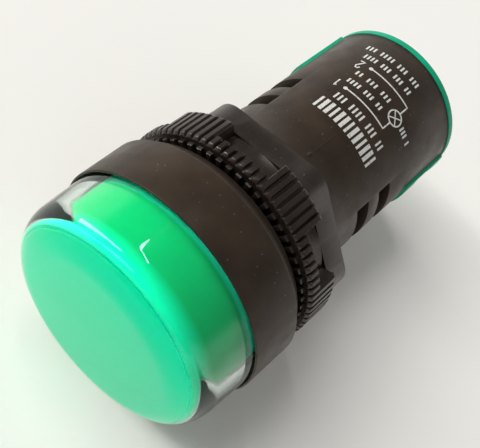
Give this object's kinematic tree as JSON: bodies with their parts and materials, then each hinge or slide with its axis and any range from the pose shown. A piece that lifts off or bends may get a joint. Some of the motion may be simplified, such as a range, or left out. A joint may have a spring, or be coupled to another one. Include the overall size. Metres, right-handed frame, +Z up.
{
  "type": "panel pilot light",
  "caption": "Panel pilot light: round black bezel with a clear cover over a green diffuser, ribbed hexagonal ring nut, sleeve with side windows and a green screw terminal block.",
  "frame": {"origin": "on the lamp's axis, in the plane of the panel's front face, where the gasket's back face seats", "axes": "+Y along the axis from the lens to the terminals, through the panel; +Z up, towards the side of the sleeve that carries the wiring print; the wire entries face +X and -X"},
  "size_m": [0.029, 0.0525, 0.029],
  "materials": {
    "black_plastic": "satin black moulded plastic",
    "black_rubber": "matt rubber",
    "clear_plastic": "clear polished plastic",
    "green_diffuser": "translucent green plastic",
    "white_board": "white solder mask",
    "led_phosphor": "LED packages",
    "green_board": "green solder mask",
    "tinned_pins": "tinned",
    "black_epoxy": "moulded epoxy",
    "capacitor_sleeve": "shrink sleeve",
    "resistor_body": "lacquer",
    "wire_insulation": "PVC insulation",
    "green_plastic": "green moulded plastic",
    "contact_brass": "brass",
    "nut_plastic": "satin black moulded plastic",
    "zinc_plate": "zinc plated",
    "screw_steel": "zinc plated"
  },
  "bodies": {
    "lamp": {"housing": "black_plastic", "gasket": "black_rubber", "lens_cover": "clear_plastic", "diffuser": "green_diffuser", "led_board": "white_board", "led_chips": "led_phosphor", "driver_board": "green_board", "board_pins": "tinned_pins", "rectifier": "black_epoxy", "capacitor": "capacitor_sleeve", "resistor": "resistor_body", "lead_wires": "wire_insulation", "terminal_block": "green_plastic", "contact_left": "contact_brass", "contact_right": "contact_brass"},
    "ring_nut": {"ring_nut": "nut_plastic"},
    "clamp_left": {"clamp_left": "zinc_plate"},
    "clamp_right": {"clamp_right": "zinc_plate"},
    "screw_left": {"screw_left": "screw_steel"},
    "screw_right": {"screw_right": "screw_steel"}
  },
  "joints": [
    {"name": "ring_nut_travel", "type": "slide", "parent": "lamp", "child": "ring_nut", "axis": [0, 1, 0], "range_m": [0, 0.038]},
    {"name": "clamp_left_lift", "type": "slide", "parent": "lamp", "child": "clamp_left", "axis": [0, 1, 0], "range_m": [0, 0.0025]},
    {"name": "screw_left_turn", "type": "hinge", "parent": "clamp_left", "child": "screw_left", "pos_m": [-0.004, 0.0298, 0], "axis": [0, 1, 0], "range_deg": [0, 1800]},
    {"name": "clamp_right_lift", "type": "slide", "parent": "lamp", "child": "clamp_right", "axis": [0, 1, 0], "range_m": [0, 0.0025]},
    {"name": "screw_right_turn", "type": "hinge", "parent": "clamp_right", "child": "screw_right", "pos_m": [0.004, 0.0298, 0], "axis": [0, 1, 0], "range_deg": [0, 1800]}
  ],
  "couplings": [
    {"joint": "screw_left_turn", "follows": "clamp_left_lift", "rad_per_m": 12566},
    {"joint": "screw_right_turn", "follows": "clamp_right_lift", "rad_per_m": 12566}
  ]
}
